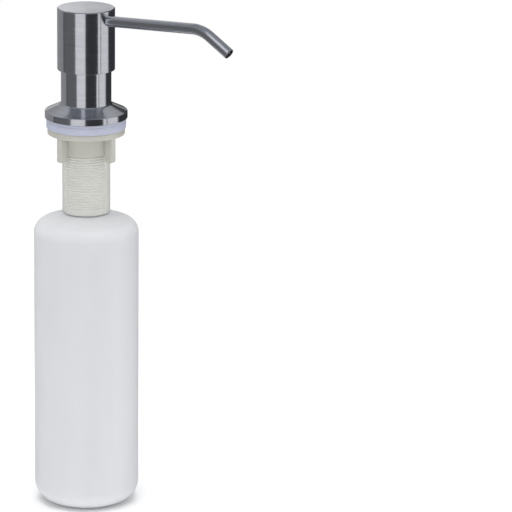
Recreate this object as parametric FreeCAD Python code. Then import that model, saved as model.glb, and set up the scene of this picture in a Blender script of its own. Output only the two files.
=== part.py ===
"""Deck-mounted soap pump dispenser: steel pump head and flange, threaded shank with a wing nut,
and a screw-on bottle below. Millimetres, +Z up. The origin is the centre of the bottle's base,
and the spout points along +X."""
import FreeCAD
import Part
import math
import os

# ---- driving dimensions -------------------------------------------------------------------
# bottle
BOTTLE_R = 29.4
BOTTLE_WALL = 1.2
BOTTLE_FLOOR = 1.6
BASE_EDGE_R = 11.0
BASE_DISH_R = 16.0
BASE_DISH_DEPTH = 1.2
SHOULDER_SLOPE = 20.0
SHOULDER_EDGE_R = 7.5
NECK_R = 11.5
NECK_BORE_R = 10.0
NECK_TOP = 187.0
NECK_SEAL_R = 11.4
NECK_SEAL_THICK = 1.2

# threaded shank
SHANK_R = 13.5
SHANK_BOTTOM = 169.0
SHANK_GAP = 0.1
SHANK_CHAMFER = 0.4
SOCKET_CLEARANCE = 0.06
SHANK_LIP_R = 9.7
SHANK_LIP_THICK = 2.0
SHANK_BORE_R = 10.4

# wing nut and washers, from the bottom up
NUT_BOTTOM = 203.5
NUT_COLLAR_R = 15.8
NUT_DISC_R = 21.5
NUT_DISC_BOTTOM = 213.7
NUT_DISC_THICK = 3.5
NUT_CLEARANCE = 0.06
FIN_COUNT = 4
FIN_FIRST_ANGLE = -7.0
FIN_THICK = 3.2
FIN_DROP = 3.4
FIN_CORNER_R = 1.5
WASHER_R = 22.2
WASHER_THICK = 4.2
GASKET_R = 22.4
GASKET_THICK = 1.7
RUBBER_CLEARANCE = 0.1
RUBBER_EDGE_R = 0.3

# steel flange and sleeve
FLANGE_R = 23.0
FLANGE_RIM = 3.6
FLANGE_EDGE_R = 0.5
CONE_TOP_R = 14.6
CONE_RISE = 4.5
SLEEVE_R = 14.0
SLEEVE_BORE_R = 13.0
SLEEVE_TOP = 256.0
SLEEVE_FILLET_R = 0.8
SHANK_TOP = 250.0

# pump head
HEAD_R = 16.0
HEAD_WALL = 0.9
HEAD_BOTTOM = 250.2
HEAD_TOP = 285.0
HEAD_TOP_THICK = 1.0
HEAD_CHAMFER = 0.5
HEAD_LIP_R = 0.3
CORE_BOTTOM = 270.0
CORE_BOSS_R = 6.0
CORE_BOSS_BOTTOM = 267.0
BUSH_CLEARANCE = 0.06
BUSH_RECESS = 0.8
BUSH_HEIGHT = 4.4

# spout
SPOUT_R = 3.0
SPOUT_WALL = 0.5
LINER_BORE_R = 1.7
SPOUT_START = 6.0
SPOUT_HEIGHT = 279.2
SPOUT_RISE = 3.6
SPOUT_BEND_REACH = 73.0
SPOUT_BEND_R = 20.0
SPOUT_FALL = 31.0
SPOUT_TIP = 15.2
LINER_RECESS = 1.5
SPOUT_SEAL_R = 4.0
SPOUT_SEAL_WIDTH = 1.2
SPOUT_SEAL_PLACE = 4.0

# pump insert
COLLAR_SEAL_R = 12.6
COLLAR_SEAL_BORE_R = 9.7
COLLAR_SEAL_THICK = 1.2
CYLINDER_R = 7.8
CYLINDER_BORE_R = 6.8
CYLINDER_FLANGE_THICK = 1.5
COLLAR_R = 12.85
COLLAR_BORE_R = 6.6
COLLAR_HEIGHT = 3.0
COLLAR_EDGE_R = 0.5
CYLINDER_FLOOR = 193.0
VALVE_R = 4.6
VALVE_BORE_R = 3.2
VALVE_SEAT_Z = 187.0
VALVE_SEAT_R = 1.6
TUBE_SOCKET_BOTTOM = 172.0
TUBE_SOCKET_TOP = 184.0
TUBE_SOCKET_WALL = 1.2
TUBE_SOCKET_TAPER = 1.0
CYLINDER_FLOOR_THICK = 2.0
STEM_R = 3.0
STEM_BORE_R = 1.3
RISER_R = 1.7
STEM_TOP = 273.5
STEM_CLEARANCE = 0.05
GUIDE_BOTTOM = 244.0
PISTON_BOTTOM = 232.0
PISTON_TOP = 243.8
PISTON_CLEARANCE = 0.05
PISTON_WAIST_R = 5.2
PISTON_LAND = 2.4
PISTON_TAPER = 1.0
BALL_LIFT = 1.5
INLET_BALL_R = 2.4
OUTLET_BALL_R = 1.5
OUTLET_SEAT_R = 1.0
OUTLET_SEAT_HEIGHT = 2.0
OUTLET_BALL_GAP = 0.35
SPRING_SEAT_THICK = 2.0
SPRING_SEAT_HOLES = 3
SPRING_SEAT_HOLE_R = 1.5
SPRING_SEAT_HOLE_PLACE = 3.9
SPRING_R = 5.6
SPRING_WIRE_R = 0.45
SPRING_COILS = 8
DIP_TUBE_R = 3.0
DIP_TUBE_BORE_R = 2.2
DIP_TUBE_BOTTOM = 6.0
TOUCH = 0.02
CUT_PAST = 1.0
EDGE_MATCH = 0.01

# ---- places worked out from the dimensions --------------------------------------------------
WASHER_BOTTOM = NUT_DISC_BOTTOM + NUT_DISC_THICK
GASKET_BOTTOM = WASHER_BOTTOM + WASHER_THICK
FLANGE_BOTTOM = GASKET_BOTTOM + GASKET_THICK
FLANGE_TOP = FLANGE_BOTTOM + FLANGE_RIM + CONE_RISE
SOCKET_R = NECK_R + SOCKET_CLEARANCE
SOCKET_TOP = NECK_TOP + NECK_SEAL_THICK
HEAD_BORE_R = HEAD_R - HEAD_WALL
HEAD_CEILING = HEAD_TOP - HEAD_TOP_THICK
CYLINDER_FLANGE_BOTTOM = SHANK_TOP + COLLAR_SEAL_THICK
CYLINDER_TOP = CYLINDER_FLANGE_BOTTOM + CYLINDER_FLANGE_THICK
SPRING_BOTTOM = CYLINDER_FLOOR + SPRING_SEAT_THICK

UP = FreeCAD.Vector(0, 0, 1)
CENTRE = FreeCAD.Vector(0, 0, 0)


# ---- helpers ----------------------------------------------------------------------------------
def turned(outline):
    """A solid of revolution about Z from a closed outline of (radius, height) points."""
    points = [FreeCAD.Vector(r, 0, z) for r, z in outline]
    face = Part.Face(Part.makePolygon(points + points[:1]))
    return face.revolve(CENTRE, UP, 360)


def turned_wire(edges):
    """A solid of revolution about Z from a closed list of edges in the XZ plane."""
    return Part.Face(Part.Wire(edges)).revolve(CENTRE, UP, 360)


def disc(r, bottom, top):
    return Part.makeCylinder(r, top - bottom, FreeCAD.Vector(0, 0, bottom), UP)


def ring(outer, inner, bottom, top):
    return disc(outer, bottom, top).cut(disc(inner, bottom, top))


def circles(shape, r, z):
    """The circular edges about Z with radius r at height z."""
    found = []
    for edge in shape.Edges:
        curve = edge.Curve
        if not isinstance(curve, Part.Circle):
            continue
        if abs(curve.Radius - r) < EDGE_MATCH and abs(curve.Center.z - z) < EDGE_MATCH:
            found.append(edge)
    return found


def rounded(shape, radius, *places):
    """Fillets the circular edges about Z at each (r, z)."""
    edges = [edge for r, z in places for edge in circles(shape, r, z)]
    return shape.makeFillet(radius, edges)


def chamfered(shape, size, *places):
    edges = [edge for r, z in places for edge in circles(shape, r, z)]
    return shape.makeChamfer(size, edges)


def line(a, b):
    return Part.LineSegment(FreeCAD.Vector(a[0], 0, a[1]), FreeCAD.Vector(b[0], 0, b[1])).toShape()


def arc(centre, radius, start, end):
    """An arc in the XZ plane, counted in degrees from +X towards +Z."""
    points = []
    for angle in (start, (start + end) / 2, end):
        a = math.radians(angle)
        points.append(FreeCAD.Vector(centre[0] + radius * math.cos(a), 0, centre[1] + radius * math.sin(a)))
    return Part.Arc(*points).toShape()


def polar(centre, radius, angle):
    a = math.radians(angle)
    return (centre[0] + radius * math.cos(a), centre[1] + radius * math.sin(a))


# ---- bottle -----------------------------------------------------------------------------------
def bottle_edges(inset, neck_r, floor):
    """The bottle's profile, moved inwards by inset, from the axis at the floor up to the neck's top."""
    slope = SHOULDER_SLOPE
    wall_r = BOTTLE_R - inset
    shoulder_r = SHOULDER_EDGE_R - inset
    base_r = BASE_EDGE_R - inset
    at_shank = SHANK_BOTTOM - SHANK_GAP - (SHANK_R - SOCKET_R) * math.tan(math.radians(slope))
    edge_end_r = BOTTLE_R - SHOULDER_EDGE_R + SHOULDER_EDGE_R * math.sin(math.radians(slope))
    edge_end_z = at_shank - (edge_end_r - SHANK_R) * math.tan(math.radians(slope))
    shoulder = (BOTTLE_R - SHOULDER_EDGE_R, edge_end_z - SHOULDER_EDGE_R * math.cos(math.radians(slope)))
    base = (BOTTLE_R - BASE_EDGE_R, BASE_EDGE_R - inset + floor)
    cone_end = polar(shoulder, shoulder_r, 90 - slope)
    neck_foot = (neck_r, cone_end[1] + (cone_end[0] - neck_r) * math.tan(math.radians(slope)))
    return [
        line((0, floor), (base[0], floor)),
        arc(base, base_r, -90, 0),
        line((wall_r, base[1]), (wall_r, shoulder[1])),
        arc(shoulder, shoulder_r, 0, 90 - slope),
        line(cone_end, neck_foot),
        line(neck_foot, (neck_r, NECK_TOP)),
        line((neck_r, NECK_TOP), (0, NECK_TOP)),
        line((0, NECK_TOP), (0, floor)),
    ]


def bottle():
    outside = turned_wire(bottle_edges(0, NECK_R, 0))
    inside = turned_wire(bottle_edges(BOTTLE_WALL, NECK_BORE_R, BOTTLE_FLOOR + BASE_DISH_DEPTH))
    dish = Part.makeCone(BASE_DISH_R, BASE_DISH_R - BASE_DISH_DEPTH, BASE_DISH_DEPTH, CENTRE, UP)
    return outside.cut(inside).cut(dish)


def neck_seal():
    return ring(NECK_SEAL_R, NECK_BORE_R, NECK_TOP, SOCKET_TOP)


# ---- fixed deck fitting -----------------------------------------------------------------------
def threaded_shank():
    body = disc(SHANK_R, SHANK_BOTTOM, FLANGE_BOTTOM).fuse(disc(SLEEVE_BORE_R, FLANGE_BOTTOM, SHANK_TOP))
    socket = disc(SOCKET_R, SHANK_BOTTOM, SOCKET_TOP)
    lip = disc(SHANK_LIP_R, SOCKET_TOP, SOCKET_TOP + SHANK_LIP_THICK)
    bore = disc(SHANK_BORE_R, SOCKET_TOP + SHANK_LIP_THICK, SHANK_TOP)
    return chamfered(body.cut(socket.fuse([lip, bore])), SHANK_CHAMFER, (SHANK_R, SHANK_BOTTOM))


def base_flange():
    rim_top = FLANGE_BOTTOM + FLANGE_RIM
    body = turned([
        (SLEEVE_BORE_R, FLANGE_BOTTOM),
        (FLANGE_R, FLANGE_BOTTOM),
        (FLANGE_R, rim_top),
        (CONE_TOP_R, FLANGE_TOP - (CONE_TOP_R - SLEEVE_R)),
        (SLEEVE_R, FLANGE_TOP),
        (SLEEVE_R, SLEEVE_TOP),
        (SLEEVE_BORE_R, SLEEVE_TOP),
    ])
    body = rounded(body, SLEEVE_FILLET_R, (CONE_TOP_R, FLANGE_TOP - (CONE_TOP_R - SLEEVE_R)))
    return rounded(body, FLANGE_EDGE_R, (FLANGE_R, rim_top))


def deck_gasket():
    body = ring(GASKET_R, SHANK_R + RUBBER_CLEARANCE, GASKET_BOTTOM, FLANGE_BOTTOM)
    return rounded(body, RUBBER_EDGE_R, (GASKET_R, GASKET_BOTTOM))


# ---- clamp below the deck ---------------------------------------------------------------------
def underdeck_washer():
    body = ring(WASHER_R, SHANK_R + RUBBER_CLEARANCE, WASHER_BOTTOM, GASKET_BOTTOM)
    return rounded(body, RUBBER_EDGE_R, (WASHER_R, WASHER_BOTTOM), (WASHER_R, GASKET_BOTTOM))


def fin():
    """One wing of the nut: a radial plate from inside the collar out to the disc's rim."""
    bottom = NUT_BOTTOM - FIN_DROP
    inner = SHANK_R + (NUT_COLLAR_R - SHANK_R) / 2
    blade = Part.makeBox(
        NUT_DISC_R - inner,
        FIN_THICK,
        NUT_DISC_BOTTOM - bottom,
        FreeCAD.Vector(inner, -FIN_THICK / 2, bottom),
    )
    below_collar = disc(NUT_COLLAR_R, bottom, NUT_BOTTOM)
    blade = blade.cut(below_collar).common(disc(NUT_DISC_R, bottom, NUT_DISC_BOTTOM))
    outer_bottom = []
    for edge in blade.Edges:
        box = edge.BoundBox
        if box.ZMax < bottom + TOUCH and box.XMin > NUT_DISC_R - FIN_CORNER_R:
            outer_bottom.append(edge)
    return blade.makeFillet(FIN_CORNER_R, outer_bottom)


def wing_nut():
    body = disc(NUT_COLLAR_R, NUT_BOTTOM, NUT_DISC_BOTTOM)
    body = body.fuse(disc(NUT_DISC_R, NUT_DISC_BOTTOM, WASHER_BOTTOM))
    fins = []
    for k in range(FIN_COUNT):
        blade = fin()
        blade.rotate(CENTRE, UP, FIN_FIRST_ANGLE + 360 / FIN_COUNT * k)
        fins.append(blade)
    body = body.fuse(fins).removeSplitter()
    return body.cut(disc(SHANK_R + NUT_CLEARANCE, NUT_BOTTOM, WASHER_BOTTOM))


# ---- pump head ----------------------------------------------------------------------------------
def spout_path():
    """Start, bend start, bend centre, bend end and tip of the spout's centre line, as (x, z)."""
    rise = math.radians(SPOUT_RISE)
    start = (SPOUT_START, SPOUT_HEIGHT - (HEAD_R - SPOUT_START) * math.tan(rise))
    bend = (SPOUT_BEND_REACH, SPOUT_HEIGHT + (SPOUT_BEND_REACH - HEAD_R) * math.tan(rise))
    centre = polar(bend, SPOUT_BEND_R, SPOUT_RISE - 90)
    bend_end = polar(centre, SPOUT_BEND_R, 90 - SPOUT_FALL)
    tip = polar(bend_end, SPOUT_TIP, -SPOUT_FALL)
    return start, bend, centre, bend_end, tip


def rod(a, b, r):
    """A round rod between two points of the XZ plane."""
    along = FreeCAD.Vector(b[0] - a[0], 0, b[1] - a[1])
    return Part.makeCylinder(r, along.Length, FreeCAD.Vector(a[0], 0, a[1]), along)


def bent_rod(r, recess):
    """The spout's centre line as a solid rod, cut short by recess at the tip."""
    start, bend, centre, bend_end, tip = spout_path()
    tip = polar(tip, recess, 180 - SPOUT_FALL)
    profile = Part.Circle(FreeCAD.Vector(bend[0], 0, bend[1]), polar_vector(SPOUT_RISE), r).toShape()
    section = Part.Face(Part.Wire(profile))
    pivot = FreeCAD.Vector(centre[0], 0, centre[1])
    elbow = section.revolve(pivot, FreeCAD.Vector(0, 1, 0), SPOUT_RISE + SPOUT_FALL)
    return rod(start, bend, r).fuse([elbow, rod(bend_end, tip, r)]).removeSplitter()


def polar_vector(angle):
    a = math.radians(angle)
    return FreeCAD.Vector(math.cos(a), 0, math.sin(a))


def spout_tube():
    return bent_rod(SPOUT_R, 0).cut(bent_rod(SPOUT_R - SPOUT_WALL, -CUT_PAST))


def spout_liner():
    return bent_rod(SPOUT_R - SPOUT_WALL, LINER_RECESS).cut(bent_rod(LINER_BORE_R, 0))


def spout_ring(r, inner):
    """A short ring round the spout inside the head, where its seal sits."""
    start = spout_path()[0]
    a = polar(start, SPOUT_SEAL_PLACE, SPOUT_RISE)
    b = polar(a, SPOUT_SEAL_WIDTH, SPOUT_RISE)
    body = rod(a, b, r)
    return body.cut(rod(a, b, inner)) if inner else body


def spout_seal():
    return spout_ring(SPOUT_SEAL_R, SPOUT_R)


def head_shell():
    body = disc(HEAD_R, HEAD_BOTTOM, HEAD_TOP).cut(disc(HEAD_BORE_R, HEAD_BOTTOM, HEAD_CEILING))
    body = chamfered(body, HEAD_CHAMFER, (HEAD_R, HEAD_TOP))
    body = rounded(body, HEAD_LIP_R, (HEAD_R, HEAD_BOTTOM))
    start, bend = spout_path()[:2]
    return body.cut(rod(start, bend, SPOUT_R))


def head_core():
    body = disc(HEAD_BORE_R, CORE_BOTTOM, HEAD_CEILING).fuse(disc(CORE_BOSS_R, CORE_BOSS_BOTTOM, CORE_BOTTOM))
    start, bend = spout_path()[:2]
    stem_socket = disc(STEM_R, CORE_BOSS_BOTTOM, STEM_TOP)
    riser = disc(RISER_R, STEM_TOP, start[1])
    channel = rod((0, start[1] - SPOUT_START * math.tan(math.radians(SPOUT_RISE))), start, LINER_BORE_R)
    spout_socket = rod(start, bend, SPOUT_R)
    return body.cut(stem_socket.fuse([riser, channel, spout_socket, spout_ring(SPOUT_SEAL_R, 0)]))


def skirt_bush():
    bottom = HEAD_BOTTOM + BUSH_RECESS
    return ring(HEAD_BORE_R, SLEEVE_R + BUSH_CLEARANCE, bottom, bottom + BUSH_HEIGHT)


# ---- pump insert --------------------------------------------------------------------------------
def collar_seal():
    return ring(COLLAR_SEAL_R, COLLAR_SEAL_BORE_R, SHANK_TOP, CYLINDER_FLANGE_BOTTOM)


def pump_cylinder():
    seat_top = VALVE_SEAT_Z + VALVE_BORE_R - VALVE_SEAT_R
    socket_r = DIP_TUBE_R + TUBE_SOCKET_WALL
    floor_bottom = CYLINDER_FLOOR - CYLINDER_FLOOR_THICK
    return turned([
        (DIP_TUBE_R, TUBE_SOCKET_BOTTOM),
        (socket_r, TUBE_SOCKET_BOTTOM),
        (socket_r, TUBE_SOCKET_TOP - TUBE_SOCKET_TAPER),
        (VALVE_R, TUBE_SOCKET_TOP),
        (VALVE_R, floor_bottom - (CYLINDER_R - VALVE_R)),
        (CYLINDER_R, floor_bottom),
        (CYLINDER_R, CYLINDER_FLANGE_BOTTOM),
        (COLLAR_SEAL_R, CYLINDER_FLANGE_BOTTOM),
        (COLLAR_SEAL_R, CYLINDER_TOP),
        (CYLINDER_BORE_R, CYLINDER_TOP),
        (CYLINDER_BORE_R, CYLINDER_FLOOR),
        (VALVE_BORE_R, CYLINDER_FLOOR),
        (VALVE_BORE_R, seat_top),
        (VALVE_SEAT_R, VALVE_SEAT_Z),
        (VALVE_SEAT_R, TUBE_SOCKET_TOP),
        (DIP_TUBE_R, TUBE_SOCKET_TOP),
    ])


def pump_collar():
    body = ring(COLLAR_R, COLLAR_BORE_R, CYLINDER_TOP, CYLINDER_TOP + COLLAR_HEIGHT)
    return rounded(body, COLLAR_EDGE_R, (COLLAR_R, CYLINDER_TOP + COLLAR_HEIGHT))


def stem_guide():
    return ring(CYLINDER_BORE_R, STEM_R + STEM_CLEARANCE, GUIDE_BOTTOM, CYLINDER_TOP)


def spring_seat():
    body = disc(CYLINDER_BORE_R, CYLINDER_FLOOR, SPRING_BOTTOM)
    for k in range(SPRING_SEAT_HOLES):
        a = 2 * math.pi / SPRING_SEAT_HOLES * k
        place = FreeCAD.Vector(
            SPRING_SEAT_HOLE_PLACE * math.cos(a), SPRING_SEAT_HOLE_PLACE * math.sin(a), CYLINDER_FLOOR
        )
        body = body.cut(Part.makeCylinder(SPRING_SEAT_HOLE_R, SPRING_SEAT_THICK, place, UP))
    return body


def dip_tube():
    return ring(DIP_TUBE_R, DIP_TUBE_BORE_R, DIP_TUBE_BOTTOM, TUBE_SOCKET_TOP)


def seated_ball(ball_r, seat_r, seat_z):
    """A ball resting on a 45 degree seat whose throat has radius seat_r at seat_z."""
    height = seat_z - seat_r + ball_r * math.sqrt(2) + TOUCH
    return Part.makeSphere(ball_r, FreeCAD.Vector(0, 0, height))


def inlet_ball():
    return seated_ball(INLET_BALL_R, VALVE_SEAT_R, VALVE_SEAT_Z)


def return_spring():
    """A helix of round wire between the spring seat and the piston."""
    low = SPRING_BOTTOM + SPRING_WIRE_R + TOUCH
    high = PISTON_BOTTOM - SPRING_WIRE_R - TOUCH
    path = Part.makeHelix((high - low) / SPRING_COILS, high - low, SPRING_R)
    path.translate(FreeCAD.Vector(0, 0, low))
    start = FreeCAD.Vector(SPRING_R, 0, low)
    section = Part.Wire(Part.Circle(start, FreeCAD.Vector(0, 1, 0), SPRING_WIRE_R).toShape())
    return Part.Wire(path.Edges).makePipeShell([section], True, True)


# ---- plunger ------------------------------------------------------------------------------------
def outlet_seat_z():
    return PISTON_BOTTOM + OUTLET_SEAT_HEIGHT


def piston_stem():
    """The hollow stem, with the outlet valve's seat at its foot."""
    seat_z = outlet_seat_z()
    chamber_r = OUTLET_BALL_R + OUTLET_BALL_GAP
    seat_top = seat_z + chamber_r - OUTLET_SEAT_R
    chamber_top = seat_top + 2 * OUTLET_BALL_R + BALL_LIFT
    return turned([
        (OUTLET_SEAT_R, PISTON_BOTTOM),
        (STEM_R, PISTON_BOTTOM),
        (STEM_R, STEM_TOP),
        (STEM_BORE_R, STEM_TOP),
        (STEM_BORE_R, chamber_top),
        (chamber_r, chamber_top),
        (chamber_r, seat_top),
        (OUTLET_SEAT_R, seat_z),
    ])


def piston_cup():
    """The piston: two sealing lands on a waisted sleeve."""
    land_r = CYLINDER_BORE_R - PISTON_CLEARANCE
    return turned([
        (STEM_R, PISTON_BOTTOM),
        (land_r, PISTON_BOTTOM),
        (land_r, PISTON_BOTTOM + PISTON_LAND),
        (PISTON_WAIST_R, PISTON_BOTTOM + PISTON_LAND + PISTON_TAPER),
        (PISTON_WAIST_R, PISTON_TOP - PISTON_LAND - PISTON_TAPER),
        (land_r, PISTON_TOP - PISTON_LAND),
        (land_r, PISTON_TOP),
        (STEM_R, PISTON_TOP),
    ])


def outlet_ball():
    return seated_ball(OUTLET_BALL_R, OUTLET_SEAT_R, outlet_seat_z())


PARTS = [
    bottle, neck_seal, threaded_shank, base_flange, deck_gasket, underdeck_washer, wing_nut,
    head_shell, head_core, skirt_bush, spout_tube, spout_liner, spout_seal,
    collar_seal, pump_cylinder, pump_collar, stem_guide, spring_seat, dip_tube, inlet_ball,
    return_spring, piston_stem, piston_cup, outlet_ball,
]

os.makedirs("parts", exist_ok=True)
for make in PARTS:
    shape = make()
    shape.exportStep(f"parts/{make.__name__}.step")
    box = shape.BoundBox
    print(f"{make.__name__:18s} solids {len(shape.Solids)} valid {shape.isValid()} volume {shape.Volume:10.1f} "
          f"z {box.ZMin:7.2f} to {box.ZMax:7.2f}")
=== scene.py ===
"""Looks of the soap pump dispenser: brushed steel head, spout and flange, cream threaded shank and
wing nut, pale rubber washers, milky bottle, and the pump inside. Metres, in the CAD model's frame:
origin at the centre of the bottle's base, +Z up, spout along +X."""
import math

import bmesh
import bpy
from mathutils import Matrix, Vector


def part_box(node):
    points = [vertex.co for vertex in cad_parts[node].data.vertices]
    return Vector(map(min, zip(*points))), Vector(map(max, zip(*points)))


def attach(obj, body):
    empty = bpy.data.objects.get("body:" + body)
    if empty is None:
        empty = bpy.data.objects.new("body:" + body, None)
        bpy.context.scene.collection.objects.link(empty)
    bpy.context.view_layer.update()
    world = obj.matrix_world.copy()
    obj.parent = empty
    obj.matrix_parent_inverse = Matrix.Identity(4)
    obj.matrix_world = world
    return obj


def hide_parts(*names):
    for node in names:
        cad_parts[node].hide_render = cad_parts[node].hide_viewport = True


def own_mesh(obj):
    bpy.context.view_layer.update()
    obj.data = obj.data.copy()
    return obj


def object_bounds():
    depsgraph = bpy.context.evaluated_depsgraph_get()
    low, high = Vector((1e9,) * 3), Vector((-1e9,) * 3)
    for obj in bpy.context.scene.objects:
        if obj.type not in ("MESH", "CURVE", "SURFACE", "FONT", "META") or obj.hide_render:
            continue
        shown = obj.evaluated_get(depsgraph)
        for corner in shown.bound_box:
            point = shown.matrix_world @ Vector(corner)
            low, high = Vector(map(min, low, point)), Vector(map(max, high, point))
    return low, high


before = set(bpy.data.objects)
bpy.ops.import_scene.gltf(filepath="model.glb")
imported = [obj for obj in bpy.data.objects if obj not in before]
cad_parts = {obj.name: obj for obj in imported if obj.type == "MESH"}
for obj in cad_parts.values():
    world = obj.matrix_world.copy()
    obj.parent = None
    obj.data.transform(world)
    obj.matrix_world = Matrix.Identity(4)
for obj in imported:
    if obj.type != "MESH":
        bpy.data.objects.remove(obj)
cad_low, cad_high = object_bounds()

MM = 0.001
MERGE = 1e-7
SMOOTH_ANGLE = math.radians(32)


# ---- places read from the frame -------------------------------------------------------------
boxes = {node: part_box(node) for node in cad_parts}


def radius_of(node):
    return boxes[node][1].y


def bottom_of(node):
    return boxes[node][0].z


def top_of(node):
    return boxes[node][1].z


# ---- mesh helpers ---------------------------------------------------------------------------
def placed(name, mesh):
    """The mesh as an object of the scene, smooth except at its sharp edges."""
    mesh.polygons.foreach_set("use_smooth", [True] * len(mesh.polygons))
    mesh.set_sharp_from_angle(angle=SMOOTH_ANGLE)
    piece = bpy.data.objects.new(name, mesh)
    bpy.context.scene.collection.objects.link(piece)
    return piece


def skinned(name, rows, loop=True):
    """A mesh over rows of points, each row running once round and ending on its own first point.
    With loop, the last row joins the first. Points that coincide become one."""
    width = len(rows[0])
    count = len(rows)
    faces = []
    for j in range(count if loop else count - 1):
        here = j * width
        there = (j + 1) % count * width
        for i in range(width - 1):
            faces.append((here + i, here + i + 1, there + i + 1, there + i))
    mesh = bpy.data.meshes.new(name)
    mesh.from_pydata([point for row in rows for point in row], [], faces)
    work = bmesh.new()
    work.from_mesh(mesh)
    bmesh.ops.remove_doubles(work, verts=work.verts, dist=MERGE)
    bmesh.ops.recalc_face_normals(work, faces=work.faces)
    work.to_mesh(mesh)
    work.free()
    return placed(name, mesh)


def rounded(outline, steps=4):
    """A closed outline of (r, z) points. Each corner (r, z, radius) is an arc of that radius."""
    found = []
    for k, corner in enumerate(outline):
        here = Vector(corner[:2])
        if len(corner) < 3:
            found.append(here)
            continue
        back = (Vector(outline[k - 1][:2]) - here).normalized()
        ahead = (Vector(outline[(k + 1) % len(outline)][:2]) - here).normalized()
        half = back.angle(ahead) / 2
        centre = here + (back + ahead).normalized() * corner[2] / math.sin(half)
        first = here + back * corner[2] / math.tan(half) - centre
        last = here + ahead * corner[2] / math.tan(half) - centre
        start = math.atan2(first.y, first.x)
        sweep = (math.atan2(last.y, last.x) - start + math.pi) % (2 * math.pi) - math.pi
        for s in range(steps + 1):
            angle = start + sweep * s / steps
            found.append(centre + Vector((math.cos(angle), math.sin(angle))) * first.length)
    return found


def evenly(count):
    """Angles once round, with the last on the first."""
    return [2 * math.pi * k / count for k in range(count + 1)]


def lathe(name, outline, angles, relief=None):
    """A solid of revolution about Z. The outline runs out along the bottom and up the outside.
    relief(r, z, outward, angle) moves a point along the outline's outward normal."""
    rows = []
    for k, here in enumerate(outline):
        along = (outline[(k + 1) % len(outline)] - outline[k - 1]).normalized()
        outward = Vector((along.y, -along.x))
        row = []
        for angle in angles:
            place = here
            if relief:
                place = here + outward * relief(here.x, here.y, outward, angle)
            row.append((place.x * math.cos(angle), place.x * math.sin(angle), place.y))
        rows.append(row)
    return skinned(name, rows)


def step(value, start, end):
    """0 before start, 1 after end, smooth between."""
    t = min(1.0, max(0.0, (value - start) / (end - start)))
    return t * t * (3 - 2 * t)


def turned_from(angle, centre):
    """How far the angle is from a centre, in radians from 0 to pi."""
    return abs((angle - centre + math.pi) % (2 * math.pi) - math.pi)


def joined(piece, others):
    """The piece united with the others, which are removed."""
    for other in others:
        unite = piece.modifiers.new("unite", "BOOLEAN")
        unite.operation = "UNION"
        unite.solver = "EXACT"
        unite.object = other
    graph = bpy.context.evaluated_depsgraph_get()
    mesh = bpy.data.meshes.new_from_object(piece.evaluated_get(graph))
    name = piece.name
    for old in [piece, *others]:
        bpy.data.objects.remove(old)
    return placed(name, mesh)


# ---- node helpers ---------------------------------------------------------------------------
def add(tree, kind, inputs=None, **settings):
    """A new node. Each input is a plain value or the socket that feeds it."""
    node = tree.nodes.new(kind)
    for key, value in settings.items():
        setattr(node, key, value)
    for key, value in (inputs or {}).items():
        if isinstance(value, bpy.types.NodeSocket):
            tree.links.new(value, node.inputs[key])
        else:
            node.inputs[key].default_value = value
    return node


def compute(tree, operation, a, b):
    return add(tree, "ShaderNodeMath", {0: a, 1: b}, operation=operation).outputs[0]


def blended(tree, a, b, share):
    """That share of a, and the rest of b."""
    first = compute(tree, "MULTIPLY", a, share)
    second = compute(tree, "MULTIPLY", b, 1 - share)
    return compute(tree, "ADD", first, second)


def noise(tree, vector, scale, detail, rough):
    inputs = {"Vector": vector, "Scale": scale, "Detail": detail, "Roughness": rough}
    return add(tree, "ShaderNodeTexNoise", inputs).outputs["Fac"]


# the span of a noise's values that a range or a colour ramp covers
NOISE_LOW = 0.3
NOISE_HIGH = 0.7


def ranged(tree, value, low, high, start=NOISE_LOW, end=NOISE_HIGH):
    """The value, from start to end, mapped on low to high."""
    inputs = {"Value": value, "From Min": start, "From Max": end, "To Min": low, "To Max": high}
    return add(tree, "ShaderNodeMapRange", inputs).outputs["Result"]


def tinted(tree, value, dark, light):
    """A colour that runs from dark to light as a noise's value rises."""
    ramp = add(tree, "ShaderNodeValToRGB", {"Fac": value})
    for element, place, colour in zip(ramp.color_ramp.elements, (NOISE_LOW, NOISE_HIGH), (dark, light)):
        element.position = place
        element.color = (*colour, 1)
    return ramp.outputs["Color"]


def bumped(tree, height, depth, strength):
    inputs = {"Height": height, "Distance": depth, "Strength": strength}
    return add(tree, "ShaderNodeBump", inputs).outputs["Normal"]


def material(name, **values):
    """A new material, with constants set on its principled shader's own sockets."""
    made = bpy.data.materials.new(name)
    made.use_nodes = True
    tree = made.node_tree
    shader = tree.nodes["Principled BSDF"]
    for key, value in values.items():
        shader.inputs[key.replace("_", " ")].default_value = value
    return made, tree, shader


def feed(tree, shader, **sources):
    for key, socket in sources.items():
        tree.links.new(socket, shader.inputs[key.replace("_", " ")])


def object_place(tree):
    return add(tree, "ShaderNodeTexCoord").outputs["Object"]


def stretched(tree, vector, x, y, z):
    """The vector with each part multiplied."""
    return add(tree, "ShaderNodeVectorMath", {0: vector, 1: (x, y, z)}, operation="MULTIPLY").outputs[0]


def turned_place(tree, line):
    """A texture place for marks that run round Z: slow along a turn, one unit per line across it."""
    split = add(tree, "ShaderNodeSeparateXYZ", {0: object_place(tree)})
    flat = add(tree, "ShaderNodeCombineXYZ", {0: split.outputs[0], 1: split.outputs[1]})
    radius = add(tree, "ShaderNodeVectorMath", {0: flat.outputs[0]}, operation="LENGTH")
    unit = add(tree, "ShaderNodeVectorMath", {0: flat.outputs[0]}, operation="NORMALIZE")
    across = compute(tree, "ADD", radius.outputs["Value"], split.outputs[2])
    across = compute(tree, "DIVIDE", across, line)
    lift = add(tree, "ShaderNodeCombineXYZ", {2: across})
    both = add(tree, "ShaderNodeVectorMath", {0: unit.outputs[0], 1: lift.outputs[0]}, operation="ADD")
    return both.outputs[0]


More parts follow.
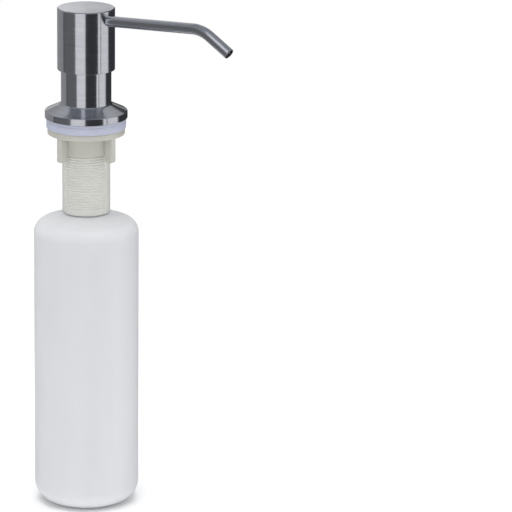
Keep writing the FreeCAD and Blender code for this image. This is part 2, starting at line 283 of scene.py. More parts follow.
# ---- materials ------------------------------------------------------------------------------
STEEL_DARK = (0.50, 0.505, 0.54)
STEEL_LIGHT = (0.61, 0.615, 0.66)
FINE_LINE = 0.22 * MM
BROAD_LINE = 1.6 * MM
MOULD_GRAIN = 0.012 * MM
NATURAL_SHADE = 0.93


def turned_steel():
    """Brushed steel whose fine lines run round the pump's axis."""
    made, tree, shader = material(
        "turned_steel", Metallic=1.0, Anisotropic=0.6, Anisotropic_Rotation=0.25
    )
    fine = noise(tree, turned_place(tree, FINE_LINE), scale=1.0, detail=2.0, rough=0.6)
    broad = noise(tree, turned_place(tree, BROAD_LINE), scale=1.0, detail=3.0, rough=0.6)
    lines = blended(tree, fine, broad, share=0.6)
    handled = noise(tree, object_place(tree), scale=90.0, detail=4.0, rough=0.55)
    brushed = ranged(tree, lines, low=0.15, high=0.19)
    smeared = ranged(tree, handled, low=-0.015, high=0.015)
    rough = compute(tree, "ADD", brushed, smeared)
    tangent = add(tree, "ShaderNodeTangent", direction_type="RADIAL", axis="Z")
    feed(
        tree, shader,
        Base_Color=tinted(tree, lines, STEEL_DARK, STEEL_LIGHT),
        Roughness=rough,
        Normal=bumped(tree, fine, depth=0.002 * MM, strength=0.4),
        Tangent=tangent.outputs[0],
    )
    return made


def drawn_steel():
    """Satin steel tube whose fine lines run along it, darkened inside by painted shade. Its mesh holds
    each point's place on the straightened tube: the length along it, then across."""
    made, tree, shader = material("drawn_steel", Metallic=1.0)
    place = add(tree, "ShaderNodeAttribute", attribute_name="straightened").outputs["Vector"]
    fine = noise(tree, stretched(tree, place, 120.0, 3600.0, 3600.0), scale=1.0, detail=2.0, rough=0.6)
    broad = noise(tree, stretched(tree, place, 60.0, 900.0, 900.0), scale=1.0, detail=3.0, rough=0.6)
    across = stretched(tree, place, 0.0, 1.0, 1.0)
    radius = add(tree, "ShaderNodeVectorMath", {0: across}, operation="LENGTH").outputs["Value"]
    bore_r = SPOUT_R - SPOUT_WALL
    # painted shade inside the bore: the colour is scaled down to BORE_SHADE on the tube's inner wall
    painted_bore_shade = ranged(
        tree, radius, low=BORE_SHADE, high=1.0, start=bore_r, end=SPOUT_R - SPOUT_WALL / 2
    )
    colour = tinted(tree, fine, STEEL_DARK, STEEL_LIGHT)
    shaded = add(tree, "ShaderNodeVectorMath", {0: colour, "Scale": painted_bore_shade}, operation="SCALE")
    feed(
        tree, shader,
        Base_Color=shaded.outputs[0],
        Roughness=ranged(tree, broad, low=0.15, high=0.25),
        Normal=bumped(tree, fine, depth=0.004 * MM, strength=0.4),
    )
    return made


def polished_steel():
    """Bright steel of the balls and the spring wire, with faint drawing marks."""
    made, tree, shader = material("polished_steel", Metallic=1.0)
    marks = noise(tree, object_place(tree), scale=2500.0, detail=3.0, rough=0.6)
    feed(
        tree, shader,
        Base_Color=tinted(tree, marks, dark=(0.55, 0.55, 0.57), light=(0.68, 0.68, 0.69)),
        Roughness=ranged(tree, marks, low=0.12, high=0.22),
    )
    return made


def moulded_plastic(name, dark, light, rough, subsurface=0.12):
    """Injection-moulded plastic: cloudy colour, faint flow marks and a fine mould texture."""
    made, tree, shader = material(name, IOR=1.49, Subsurface_Weight=subsurface, Subsurface_Scale=2 * MM)
    shader.inputs["Subsurface Radius"].default_value = (1.0, 0.9, 0.7)
    place = object_place(tree)
    cloud = noise(tree, place, scale=55.0, detail=4.0, rough=0.6)
    flow = noise(tree, stretched(tree, place, 260.0, 260.0, 40.0), scale=1.0, detail=3.0, rough=0.55)
    peel = noise(tree, place, scale=1400.0, detail=3.0, rough=0.6)
    shade = blended(tree, cloud, flow, share=0.6)
    feed(
        tree, shader,
        Base_Color=tinted(tree, shade, dark, light),
        Roughness=ranged(tree, flow, low=rough - 0.05, high=rough + 0.06),
        Normal=bumped(tree, peel, depth=MOULD_GRAIN, strength=0.6),
    )
    return made


def rubber(name, dark, light, rough):
    """Soft sheet rubber: matt, finely grained and a little mottled."""
    made, tree, shader = material(name, IOR=1.45, Subsurface_Weight=0.1, Subsurface_Scale=1 * MM)
    place = object_place(tree)
    mottle = noise(tree, place, scale=130.0, detail=5.0, rough=0.65)
    grain = noise(tree, place, scale=2600.0, detail=2.0, rough=0.6)
    feed(
        tree, shader,
        Base_Color=tinted(tree, mottle, dark, light),
        Roughness=ranged(tree, mottle, low=rough - 0.05, high=rough + 0.08),
        Normal=bumped(tree, grain, depth=0.02 * MM, strength=0.5),
    )
    return made


def milky_polythene():
    """Blow-moulded polyethylene: light goes through its wall, with faint flow lines up its height."""
    made, tree, shader = material(
        "milky_polythene", IOR=1.51, Subsurface_Weight=0.55, Subsurface_Scale=6 * MM
    )
    shader.inputs["Subsurface Radius"].default_value = (1.0, 0.97, 0.95)
    place = object_place(tree)
    cloud = noise(tree, place, scale=22.0, detail=3.0, rough=0.5)
    flow = noise(tree, stretched(tree, place, 90.0, 90.0, 9.0), scale=1.0, detail=3.0, rough=0.5)
    peel = noise(tree, place, scale=900.0, detail=3.0, rough=0.6)
    shade = blended(tree, cloud, flow, share=0.5)
    feed(
        tree, shader,
        Base_Color=tinted(tree, shade, dark=(0.72, 0.735, 0.765), light=(0.76, 0.77, 0.80)),
        Roughness=ranged(tree, flow, low=0.36, high=0.46),
        Normal=bumped(tree, peel, depth=0.02 * MM, strength=0.5),
    )
    return made


def clear_plastic(name, colour, rough, transmission):
    """Natural, see-through plastic of the dip tube and the pump's cylinder."""
    made, tree, shader = material(name, IOR=1.49, Transmission_Weight=transmission)
    place = object_place(tree)
    flow = noise(tree, stretched(tree, place, 400.0, 400.0, 30.0), scale=1.0, detail=3.0, rough=0.55)
    darker = tuple(NATURAL_SHADE * c for c in colour)
    feed(
        tree, shader,
        Base_Color=tinted(tree, flow, darker, colour),
        Roughness=ranged(tree, flow, low=rough - 0.04, high=rough + 0.06),
        Normal=bumped(tree, flow, depth=0.02 * MM, strength=0.4),
    )
    return made


# ---- shown pieces ---------------------------------------------------------------------------
def stands_for(piece, node, body, look):
    """The piece rides on the body in place of the CAD node, with that finish."""
    piece.data.materials.clear()
    piece.data.materials.append(look)
    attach(piece, body)
    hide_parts(node)


# steps round the bottle, the nut and the rubber rings
ROUND_STEPS = 144

BOTTLE_WALL = 1.2 * MM
BASE_EDGE_R = 11.0 * MM
DISH_R = 16.0 * MM
DISH_DEPTH = 1.2 * MM
DISH_CORNER_R = 1.0 * MM
DISH_EDGE_R = 0.8 * MM
BOTTLE_FLOOR = 2.8 * MM
SHOULDER_SLOPE = math.radians(20)
SHOULDER_EDGE_R = 7.5 * MM
NECK_R = 11.5 * MM
NECK_BORE_R = 10.0 * MM
NECK_FOOT = 168.92 * MM
NECK_MARGIN = 1.0 * MM
NECK_ROOT_R = 0.8 * MM
NECK_RIM_R = 0.4 * MM
NECK_THREAD_PITCH = 3.0 * MM
NECK_THREAD_DEPTH = 0.7 * MM
# the thread fades in between these heights above the neck's foot, and out this far below its top
NECK_THREAD_IN = (1.5 * MM, 4 * MM)
NECK_THREAD_OUT = (1 * MM, 2.5 * MM)
SEAM_ANGLE = math.radians(38)
SEAM_HEIGHT = 0.12 * MM
SEAM_HALF = math.radians(0.8)
WALL_WAVE = 0.05 * MM
WALL_WAVE_FULL = 20 * MM
CORNER_STEPS = 10
LONGEST_EDGE = 5 * MM
LONGEST_THREAD_EDGE = 0.35 * MM


def bottle_angles():
    """Angles round the bottle, closer together at its two mould seams."""
    found = evenly(ROUND_STEPS)
    for seam in (SEAM_ANGLE, SEAM_ANGLE + math.pi):
        found += [seam + SEAM_HALF * k / 2 for k in range(-3, 4)]
    return sorted(found)


def bottle_relief(r, z, outward, angle):
    """Mould seams up the outside, a thread round the neck and the wall's slight waviness."""
    top = top_of("bottle")
    if outward.x < 0 or z > BOTTLE_FLOOR and r < NECK_R - MERGE:
        return 0.0
    seam = min(turned_from(angle, SEAM_ANGLE), turned_from(angle, SEAM_ANGLE + math.pi))
    ridge = max(0.0, 1 - seam / SEAM_HALF)
    if z > NECK_FOOT + NECK_MARGIN:
        turn = (z - NECK_FOOT) / NECK_THREAD_PITCH - angle / (2 * math.pi)
        crest = 0.5 + 0.5 * math.cos(2 * math.pi * turn)
        starts, full = (NECK_FOOT + height for height in NECK_THREAD_IN)
        ends = step(z, starts, full) * step(top - z, *NECK_THREAD_OUT)
        return -NECK_THREAD_DEPTH * (1 - crest * crest * ends)
    wave = math.sin(3 * angle + 40 * z) * math.sin(55 * z + 2 * angle)
    return SEAM_HEIGHT * (ridge - 1) - WALL_WAVE * (1 + wave) / 2 * step(z, 0, WALL_WAVE_FULL)


def make_bottle(look):
    wall_r = radius_of("bottle")
    top = top_of("bottle")
    slope = math.tan(SHOULDER_SLOPE)
    corner = NECK_FOOT - (wall_r - NECK_R) * slope
    drop = BOTTLE_WALL / math.cos(SHOULDER_SLOPE)
    inner_r = wall_r - BOTTLE_WALL
    outline = rounded([
        (0, DISH_DEPTH),
        (DISH_R - DISH_DEPTH, DISH_DEPTH, DISH_CORNER_R),
        (DISH_R, 0, DISH_EDGE_R),
        (wall_r, 0, BASE_EDGE_R),
        (wall_r, corner, SHOULDER_EDGE_R),
        (NECK_R, NECK_FOOT, NECK_ROOT_R),
        (NECK_R, top, NECK_RIM_R),
        (NECK_BORE_R, top, NECK_RIM_R),
        (NECK_BORE_R, NECK_FOOT + (NECK_R - NECK_BORE_R) * slope - drop, NECK_ROOT_R),
        (inner_r, corner + BOTTLE_WALL * slope - drop, SHOULDER_EDGE_R - BOTTLE_WALL),
        (inner_r, BOTTLE_FLOOR, BASE_EDGE_R - BOTTLE_WALL),
        (0, BOTTLE_FLOOR),
    ], CORNER_STEPS)
    fine = []
    for k, here in enumerate(outline):
        ahead = outline[(k + 1) % len(outline)]
        on_neck = min(here.y, ahead.y) > NECK_FOOT - NECK_MARGIN
        threaded = on_neck and min(here.x, ahead.x) > NECK_R - MERGE
        longest = LONGEST_THREAD_EDGE if threaded else LONGEST_EDGE
        on_axis = max(here.x, ahead.x) < MERGE
        parts = 1 if on_axis else max(1, math.ceil((ahead - here).length / longest))
        fine += [here.lerp(ahead, s / parts) for s in range(parts)]
    piece = lathe("bottle_shell", fine, bottle_angles(), bottle_relief)
    stands_for(piece, "bottle", "soap_bottle", look)


THREAD_PITCH = 1.5 * MM
THREAD_ROWS = (0.0, 0.0, 0.5, 1.0, 1.0, 0.5)
THREAD_DEPTH = 0.38 * MM
BAND_DEPTH = 0.12 * MM
THREAD_CENTRES = (math.radians(-55), math.radians(125))
THREAD_HALF = math.radians(57)
THREAD_RAMP = math.radians(4)
THREAD_START = 2.6 * MM
SPIGOT_R = 13.0 * MM
SOCKET_R = 11.56 * MM
LIP_R = 9.7 * MM
LIP_THICK = 2.0 * MM
SHANK_BORE_R = 10.4 * MM
SHANK_STEPS = 168
SHANK_FOOT_INSET = 0.5 * MM
SHANK_FOOT_RISE = 0.4 * MM
THREAD_ABOVE_FOOT = 0.8 * MM
THREAD_BELOW_TOP = 0.4 * MM


def shank_radius(height, crest, angle):
    """The shank's outside: two threaded segments, with plain bands a little lower between them."""
    low, high = bottom_of("threaded_shank"), top_of("deck_gasket")
    outer = radius_of("threaded_shank")
    away = min(turned_from(angle, centre) for centre in THREAD_CENTRES)
    threaded = 1 - step(away, THREAD_HALF - THREAD_RAMP, THREAD_HALF)
    ends = step(height, low + THREAD_START, low + THREAD_START + THREAD_PITCH)
    ends *= step(high - height, 0, THREAD_PITCH)
    groove = THREAD_DEPTH * (1 - crest)
    return outer - BAND_DEPTH * (1 - threaded * ends) - groove * threaded * ends


def make_shank(look):
    low, high = bottom_of("threaded_shank"), top_of("deck_gasket")
    outer = radius_of("threaded_shank")
    top = top_of("threaded_shank")
    socket_top = top_of("neck_seal")
    angles = evenly(SHANK_STEPS)
    rows = []

    def ring(r, z):
        rows.append([(r * math.cos(a), r * math.sin(a), z) for a in angles])

    ring(SOCKET_R, low)
    ring(outer - SHANK_FOOT_INSET, low)
    ring(outer - BAND_DEPTH, low + SHANK_FOOT_RISE)
    first = low + THREAD_ABOVE_FOOT
    last = high - THREAD_BELOW_TOP
    per_turn = len(THREAD_ROWS)
    count = math.ceil((last - first) / THREAD_PITCH) * per_turn
    for j in range(-per_turn, count + 1):
        row = []
        for a in angles:
            rise = first + (j / per_turn + a / (2 * math.pi)) * THREAD_PITCH
            z = min(last, max(first, rise))
            r = shank_radius(rise, THREAD_ROWS[j % per_turn], a)
            row.append((r * math.cos(a), r * math.sin(a), z))
        rows.append(row)
    ring(outer - BAND_DEPTH, high)
    ring(SPIGOT_R, high)
    ring(SPIGOT_R, top)
    ring(SHANK_BORE_R, top)
    ring(SHANK_BORE_R, socket_top + LIP_THICK)
    ring(LIP_R, socket_top + LIP_THICK)
    ring(LIP_R, socket_top)
    ring(SOCKET_R, socket_top)
    piece = skinned("shank_with_thread", rows)
    stands_for(piece, "threaded_shank", "deck_fitting", look)


NUT_COLLAR_R = 15.8 * MM
NUT_COLLAR_RISE = 3.4 * MM
NUT_DISC_THICK = 3.5 * MM
NUT_BORE_R = 13.56 * MM
NUT_BORE_EDGE_R = 0.25 * MM
NUT_COLLAR_EDGE_R = 0.35 * MM
NUT_INNER_R = 0.4 * MM
NUT_RIM_R = 0.45 * MM
FIN_COUNT = 4
FIN_FIRST = math.radians(-7)
FIN_THICK = 3.2 * MM
FIN_CORNER_R = 1.5 * MM
FIN_EDGE_R = 0.35 * MM
FIN_SINK = 0.03 * MM
FIN_ROOT = 0.8 * MM
FIN_OVERLAP = 1 * MM
FIN_FOOT_R = 0.5 * MM
FIN_CORNER_STEPS = 6


def make_fin(angle):
    """One wing: a flat plate with softened edges, its root inside the collar and the disc."""
    disc_r = radius_of("wing_nut")
    low, high = bottom_of("wing_nut"), top_of("wing_nut")
    root = NUT_COLLAR_R - FIN_ROOT
    outline = rounded([
        (root, low + NUT_COLLAR_RISE + FIN_OVERLAP),
        (root, high - NUT_DISC_THICK / 2),
        (disc_r - FIN_SINK, high - NUT_DISC_THICK / 2),
        (disc_r - FIN_SINK, low, FIN_CORNER_R),
        (NUT_COLLAR_R, low, FIN_FOOT_R),
        (NUT_COLLAR_R, low + NUT_COLLAR_RISE + FIN_OVERLAP),
    ], FIN_CORNER_STEPS)
    work = bmesh.new()
    side = work.faces.new([work.verts.new((p.x, -FIN_THICK / 2, p.y)) for p in outline])
    grown = bmesh.ops.extrude_face_region(work, geom=[side])["geom"]
    moved = [v for v in grown if isinstance(v, bmesh.types.BMVert)]
    bmesh.ops.translate(work, verts=moved, vec=(0, FIN_THICK, 0))
    bmesh.ops.recalc_face_normals(work, faces=work.faces)
    rims = [e for e in work.edges if abs(e.verts[0].co.y - e.verts[1].co.y) < MERGE]
    bmesh.ops.bevel(work, geom=rims, offset=FIN_EDGE_R, segments=3, profile=0.5, affect="EDGES")
    bmesh.ops.rotate(work, verts=work.verts, matrix=Matrix.Rotation(angle, 3, "Z"))
    mesh = bpy.data.meshes.new("fin")
    work.to_mesh(mesh)
    work.free()
    return placed("fin", mesh)


def make_nut(look):
    disc_r = radius_of("wing_nut")
    low, high = bottom_of("wing_nut"), top_of("wing_nut")
    collar_low = low + NUT_COLLAR_RISE
    disc_low = high - NUT_DISC_THICK
    outline = rounded([
        (NUT_BORE_R, collar_low, NUT_BORE_EDGE_R),
        (NUT_COLLAR_R, collar_low, NUT_COLLAR_EDGE_R),
        (NUT_COLLAR_R, disc_low, NUT_INNER_R),
        (disc_r, disc_low, NUT_RIM_R),
        (disc_r, high, NUT_RIM_R),
        (NUT_BORE_R, high, NUT_BORE_EDGE_R),
    ])
    body = lathe("wing_nut_moulding", outline, evenly(ROUND_STEPS))
    fins = [make_fin(FIN_FIRST + 2 * math.pi / FIN_COUNT * k) for k in range(FIN_COUNT)]
    piece = joined(body, fins)
    stands_for(piece, "wing_nut", "nut", look)


RUBBER_BORE_R = 13.6 * MM
RUBBER_BULGE = 0.12 * MM
RUBBER_BULGE_ROUND = 2.5
RUBBER_BORE_EDGE_R = 0.15 * MM
RUBBER_EDGE_R = 0.35 * MM


def make_washer(name, node, body, look):
    """A flat rubber ring, its rim bulged a little where it is squeezed."""
    rim = radius_of(node)
    low, high = bottom_of(node), top_of(node)
    outline = rounded([
        (RUBBER_BORE_R, low, RUBBER_BORE_EDGE_R),
        (rim - RUBBER_BULGE, low, RUBBER_EDGE_R),
        (rim, (low + high) / 2, RUBBER_BULGE_ROUND * (high - low)),
        (rim - RUBBER_BULGE, high, RUBBER_EDGE_R),
        (RUBBER_BORE_R, high, RUBBER_BORE_EDGE_R),
    ])
    piece = lathe(name, outline, evenly(ROUND_STEPS))
    stands_for(piece, node, body, look)


SPOUT_R = 3.0 * MM
SPOUT_WALL = 0.5 * MM
# how dark the painted shade in the spout's bore is, as a share of the steel's colour
BORE_SHADE = 0.12
SPOUT_LIP_R = 0.16 * MM
SPOUT_START = 6.0 * MM
SPOUT_HEIGHT = 279.2 * MM
SPOUT_RISE = math.radians(3.6)
SPOUT_BEND_REACH = 73.0 * MM
SPOUT_BEND_R = 20.0 * MM
SPOUT_FALL = math.radians(31)
SPOUT_TIP = 15.2 * MM
SPOUT_SIDES = 64
SPOUT_BEND_STEPS = 24


def spout_station(s):
    """The spout's centre line after a length s: its place and its direction, as (x, z) pairs."""
    head_r = radius_of("head_shell")
    start = Vector((SPOUT_START, SPOUT_HEIGHT - (head_r - SPOUT_START) * math.tan(SPOUT_RISE)))
    straight = (SPOUT_BEND_REACH - SPOUT_START) / math.cos(SPOUT_RISE)
    arc = SPOUT_BEND_R * (SPOUT_RISE + SPOUT_FALL)
    turned = min(max(0.0, s - straight), arc) / SPOUT_BEND_R
    angle = SPOUT_RISE - turned
    ahead = Vector((math.cos(angle), math.sin(angle)))
    bend = start + Vector((math.cos(SPOUT_RISE), math.sin(SPOUT_RISE))) * straight
    if s <= straight:
        return start + ahead * s, ahead
    centre = bend + Vector((math.sin(SPOUT_RISE), -math.cos(SPOUT_RISE))) * SPOUT_BEND_R
    place = centre + Vector((-math.sin(angle), math.cos(angle))) * SPOUT_BEND_R
    return place + ahead * max(0.0, s - straight - arc), ahead


def make_spout(look):
    head_r = radius_of("head_shell")
    straight = (SPOUT_BEND_REACH - SPOUT_START) / math.cos(SPOUT_RISE)
    arc = SPOUT_BEND_R * (SPOUT_RISE + SPOUT_FALL)
    length = straight + arc + SPOUT_TIP
    bore_r = SPOUT_R - SPOUT_WALL
    lip = SPOUT_LIP_R
    outside = [(0, SPOUT_R), (head_r - SPOUT_START, SPOUT_R)]
    outside += [(straight + arc * k / SPOUT_BEND_STEPS, SPOUT_R) for k in range(SPOUT_BEND_STEPS + 1)]
    edge = rounded([
        (length - 2 * lip, SPOUT_R),
        (length, SPOUT_R, lip),
        (length, bore_r, lip),
        (length - 2 * lip, bore_r),
    ])
    stations = outside + [(p.x, p.y) for p in edge] + [(s, bore_r) for s, r in reversed(outside)]
    rows = []
    straightened = []
    for s, r in stations:
        place, ahead = spout_station(s)
        row = []
        for angle in evenly(SPOUT_SIDES):
            side, up = r * math.sin(angle), r * math.cos(angle)
            row.append((place.x - ahead.y * up, side, place.y + ahead.x * up))
            straightened.append((s, side, up))
        rows.append(row)
    piece = skinned("spout_pipe", rows)
    places = piece.data.attributes.new("straightened", "FLOAT_VECTOR", "POINT")
    known = {}
    for point, flat in zip([p for row in rows for p in row], straightened):
        known[tuple(round(c / MERGE) for c in point)] = flat
    for vertex, value in zip(piece.data.vertices, places.data):
        value.vector = known.get(tuple(round(c / MERGE) for c in vertex.co), vertex.co)
    stands_for(piece, "spout_tube", "pump_head", look)


SPRING_R = 5.6 * MM
WIRE_R = 0.45 * MM
SPRING_TURNS = 10
SPRING_CLOSED = 1.0
SPRING_STEPS = 30
WIRE_SIDES = 10
# from one closed turn to the next, in thicknesses of the wire
CLOSED_SPACING = 1.02


def spring_height(turn):
    """Height of the wire's centre line above the spring's foot, with a closed turn at each end."""
    free = top_of("return_spring") - bottom_of("return_spring") - 2 * WIRE_R
    closed = 2 * WIRE_R * CLOSED_SPACING
    middle = (free - 2 * SPRING_CLOSED * closed) / (SPRING_TURNS - 2 * SPRING_CLOSED)
    if turn < SPRING_CLOSED:
        return turn * closed
    if turn > SPRING_TURNS - SPRING_CLOSED:
        return free - (SPRING_TURNS - turn) * closed
    return SPRING_CLOSED * closed + (turn - SPRING_CLOSED) * middle


def make_spring(look):
    foot = bottom_of("return_spring") + WIRE_R
    rows = []
    steps = SPRING_TURNS * SPRING_STEPS
    for k in range(-1, steps + 2):
        turn = min(SPRING_TURNS, max(0.0, k / SPRING_STEPS))
        wire_r = 0.0 if k in (-1, steps + 1) else WIRE_R
        a = 2 * math.pi * turn
        z = foot + spring_height(turn)
        row = []
        for b in evenly(WIRE_SIDES):
            r = SPRING_R + wire_r * math.cos(b)
            row.append((r * math.cos(a), r * math.sin(a), z + wire_r * math.sin(b)))
        rows.append(row)
    piece = skinned("coiled_spring", rows, loop=False)
    stands_for(piece, "return_spring", "pump_insert", look)
    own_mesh(piece)


DIP_TUBE_BORE_R = 2.2 * MM
DIP_TUBE_CUT = 4.0 * MM
DIP_TUBE_CUT_ABOVE = 8 * MM
DIP_TUBE_STEPS = 48


def make_dip_tube(look):
    """The dip tube, its foot cut at a slant so that it can't seal against the bottle's floor."""
    outer = radius_of("dip_tube")
    low, high = bottom_of("dip_tube"), top_of("dip_tube")
    above = low + DIP_TUBE_CUT_ABOVE
    rings = (
        (DIP_TUBE_BORE_R, low, 1),
        (outer, low, 1),
        (outer, above, 0),
        (outer, high, 0),
        (DIP_TUBE_BORE_R, high, 0),
        (DIP_TUBE_BORE_R, above, 0),
    )
    rows = []
    for r, z, slant in rings:
        row = []
        for a in evenly(DIP_TUBE_STEPS):
            cut = slant * DIP_TUBE_CUT * (1 + math.cos(a) * r / outer) / 2
            row.append((r * math.cos(a), r * math.sin(a), z + cut))
        rows.append(row)
    piece = skinned("dip_tube_cut", rows)
    stands_for(piece, "dip_tube", "pump_insert", look)


# ---- the object -----------------------------------------------------------------------------
def finish_node(node, look):
    """A CAD node that is shown as it is, with a better material."""
    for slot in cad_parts[node].material_slots:
        slot.material = look


steel = turned_steel()
polished = polished_steel()
cream = moulded_plastic(
    "cream_plastic", (0.63, 0.63, 0.595), (0.69, 0.69, 0.655), rough=0.38, subsurface=0.0
)
# the cream plastic made darker for the nut: painted shade on the nut, which sits low under the flange
painted_shade_nut_cream = moulded_plastic(
    "nut_cream_plastic_painted_shade", (0.495, 0.49, 0.445), (0.545, 0.54, 0.495), rough=0.36, subsurface=0.0
)
pale = rubber("pale_rubber", (0.45, 0.475, 0.59), (0.50, 0.525, 0.64), rough=0.5)
black = rubber("black_rubber", (0.018, 0.018, 0.02), (0.03, 0.03, 0.032), rough=0.5)
white = moulded_plastic("white_plastic", (0.74, 0.75, 0.76), (0.82, 0.83, 0.84), rough=0.32)
piston = moulded_plastic("piston_plastic", (0.60, 0.68, 0.72), (0.68, 0.75, 0.80), rough=0.35)
natural = clear_plastic("natural_plastic", (0.86, 0.88, 0.90), rough=0.28, transmission=0.55)
clear = clear_plastic("clear_tube", (0.93, 0.95, 0.97), rough=0.16, transmission=0.8)

make_bottle(milky_polythene())
make_shank(cream)
make_nut(painted_shade_nut_cream)
make_washer("washer_ring", "underdeck_washer", "clamp_washer", pale)
make_washer("gasket_ring", "deck_gasket", "deck_fitting", pale)
make_spout(drawn_steel())
make_spring(polished)
make_dip_tube(clear)

for node, look in {
    "head_shell": steel,
    "base_flange": steel,
    "neck_seal": pale,
    "head_core": white,
    "skirt_bush": white,
    "spout_liner": natural,
    "spout_seal": black,
    "collar_seal": black,
    "pump_cylinder": natural,
    "pump_collar": white,
    "stem_guide": white,
    "spring_seat": white,
    "inlet_ball": polished,
    "outlet_ball": polished,
    "piston_stem": white,
    "piston_cup": piston,
}.items():
    finish_node(node, look)


# ---- floor, light and camera ----------------------------------------------------------------
FLOOR_R = 1.2
FLOOR_FADE = 0.35
FLOOR_CLEAR = 1.1
FLOOR_COLOUR = (0.92, 0.92, 0.92, 1)


def make_floor():
    """A pale floor that fades into the white surroundings. Steel reflects the studio, not the floor."""
    work = bmesh.new()
    bmesh.ops.create_circle(work, cap_ends=True, segments=96, radius=FLOOR_R)
    mesh = bpy.data.meshes.new("floor")
    work.to_mesh(mesh)
    work.free()
    floor = placed("floor", mesh)
    made, tree, shader = material("floor", Roughness=0.9)
    shader.inputs["Base Color"].default_value = FLOOR_COLOUR
    shader.inputs["Specular IOR Level"].default_value = 0.1
    away = add(tree, "ShaderNodeVectorMath", {0: object_place(tree)}, operation="LENGTH")
    distance = away.outputs["Value"]
    fade = ranged(tree, distance, low=0.0, high=1.0, start=FLOOR_FADE, end=FLOOR_CLEAR)
    clear_end = add(tree, "ShaderNodeBsdfTransparent")
    mix = add(tree, "ShaderNodeMixShader", {0: fade, 1: shader.outputs[0], 2: clear_end.outputs[0]})
    tree.links.new(mix.outputs[0], tree.nodes["Material Output"].inputs["Surface"])
    mesh.materials.append(made)
    floor.visible_glossy = False
    floor.visible_shadow = False


LIGHT_DISTANCE = 1.3
LIGHT_LOW = -1.1
LIGHT_HIGH = 1.9


def panel(first, last, radiance):
    """A tall soft panel that spans these azimuths, in degrees; azimuth 0 is on the -Y side."""
    middle = math.radians((first + last) / 2)
    width = 2 * LIGHT_DISTANCE * math.tan(math.radians(last - first) / 2)
    height = LIGHT_HIGH - LIGHT_LOW
    light = bpy.data.lights.new("panel", "AREA")
    light.shape = "RECTANGLE"
    light.size = width
    light.size_y = height
    light.energy = radiance * math.pi * width * height
    holder = bpy.data.objects.new("panel", light)
    place = Vector((math.sin(middle), -math.cos(middle), 0)) * LIGHT_DISTANCE
    place.z = (LIGHT_LOW + LIGHT_HIGH) / 2
    holder.location = place
    holder.rotation_euler = Vector((-place.x, -place.y, 0)).to_track_quat("-Z", "Y").to_euler()
    holder.visible_camera = False
    bpy.context.scene.collection.objects.link(holder)


def overhead(azimuth, elevation, distance, size, radiance, glossy):
    """A soft square light above the object, aimed at it."""
    a, e = math.radians(azimuth), math.radians(elevation)
    away = Vector((math.sin(a) * math.cos(e), -math.cos(a) * math.cos(e), math.sin(e)))
    light = bpy.data.lights.new("overhead", "AREA")
    light.size = size
    light.energy = radiance * math.pi * size * size
    holder = bpy.data.objects.new("overhead", light)
    holder.location = away * distance + Vector((0, 0, cad_high.z))
    holder.rotation_euler = (-away).to_track_quat("-Z", "Y").to_euler()
    holder.visible_camera = False
    holder.visible_glossy = glossy
    bpy.context.scene.collection.objects.link(holder)


WHITE = (1, 1, 1, 1)
REFLECTED_TINT = (0.86, 0.92, 1, 1)
REFLECTED_LEAST = 0.05
FILL_STRENGTH = 0.42


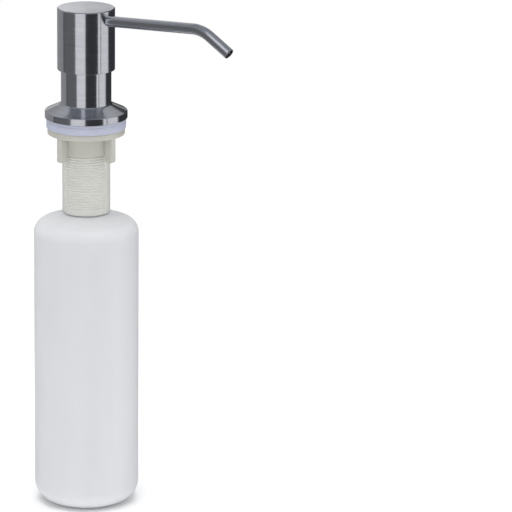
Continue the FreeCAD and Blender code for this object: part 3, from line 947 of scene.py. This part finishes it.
def make_world():
    """White behind the object, a soft even fill, and dim surroundings in the steel's reflections."""
    world = bpy.data.worlds.new("studio")
    bpy.context.scene.world = world
    world.use_nodes = True
    tree = world.node_tree
    path = add(tree, "ShaderNodeLightPath")
    generated = add(tree, "ShaderNodeTexCoord").outputs["Generated"]
    height = add(tree, "ShaderNodeSeparateXYZ", {0: generated}).outputs[2]
    below = ranged(tree, height, low=0.30, high=0.0, start=-0.95, end=-0.45)
    above = ranged(tree, height, low=0.0, high=0.32, start=0.35, end=0.9)
    dim = compute(tree, "ADD", compute(tree, "ADD", below, above), REFLECTED_LEAST)
    reflected = add(tree, "ShaderNodeBackground", {"Color": REFLECTED_TINT, "Strength": dim})
    fill = add(tree, "ShaderNodeBackground", {"Color": WHITE, "Strength": FILL_STRENGTH})
    seen = add(tree, "ShaderNodeBackground", {"Color": WHITE, "Strength": 1.0})
    inner = add(tree, "ShaderNodeMixShader", {
        0: path.outputs["Is Glossy Ray"],
        1: fill.outputs[0],
        2: reflected.outputs[0],
    })
    outer = add(tree, "ShaderNodeMixShader", {
        0: path.outputs["Is Camera Ray"],
        1: inner.outputs[0],
        2: seen.outputs[0],
    })
    tree.links.new(outer.outputs[0], tree.nodes["World Output"].inputs["Surface"])


CAMERA_AZIMUTH = math.radians(38)
CAMERA_DISTANCE = 2.1
CAMERA_HEIGHT = 0.7353
CAMERA_PITCH = math.radians(15.75)
CAMERA_PAN = math.radians(2.596)
CAMERA_ROLL = math.radians(0.627)
CAMERA_LENS = 273.3
CAMERA_SENSOR = 36
CAMERA_FAR = 100


def make_camera():
    camera = bpy.data.objects.new("camera", bpy.data.cameras.new("camera"))
    camera.data.lens = CAMERA_LENS
    camera.data.sensor_width = CAMERA_SENSOR
    camera.data.clip_end = CAMERA_FAR
    a = CAMERA_AZIMUTH
    camera.location = (CAMERA_DISTANCE * math.sin(a), -CAMERA_DISTANCE * math.cos(a), CAMERA_HEIGHT)
    heading = a - CAMERA_PAN
    level = math.cos(CAMERA_PITCH)
    aim = Vector((-math.sin(heading) * level, math.cos(heading) * level, -math.sin(CAMERA_PITCH)))
    turn = aim.to_track_quat("-Z", "Y").to_matrix() @ Matrix.Rotation(CAMERA_ROLL, 3, "Z")
    camera.rotation_euler = turn.to_euler()
    bpy.context.scene.collection.objects.link(camera)
    bpy.context.scene.camera = camera


make_floor()
make_world()
panel(first=-5.5, last=35, radiance=0.90)
panel(first=86.5, last=96, radiance=0.95)
panel(first=99, last=136, radiance=0.85)
panel(first=218, last=296, radiance=0.30)
panel(first=300, last=353, radiance=0.12)
overhead(azimuth=218, elevation=16, distance=1.6, size=0.7, radiance=0.54, glossy=True)
overhead(azimuth=197, elevation=38, distance=1.6, size=0.8, radiance=0.30, glossy=True)
overhead(azimuth=14, elevation=62, distance=1.6, size=0.35, radiance=1.0, glossy=True)
overhead(azimuth=0, elevation=88, distance=1.7, size=1.6, radiance=3.9, glossy=False)
make_camera()
bpy.context.scene.view_settings.view_transform = "Standard"
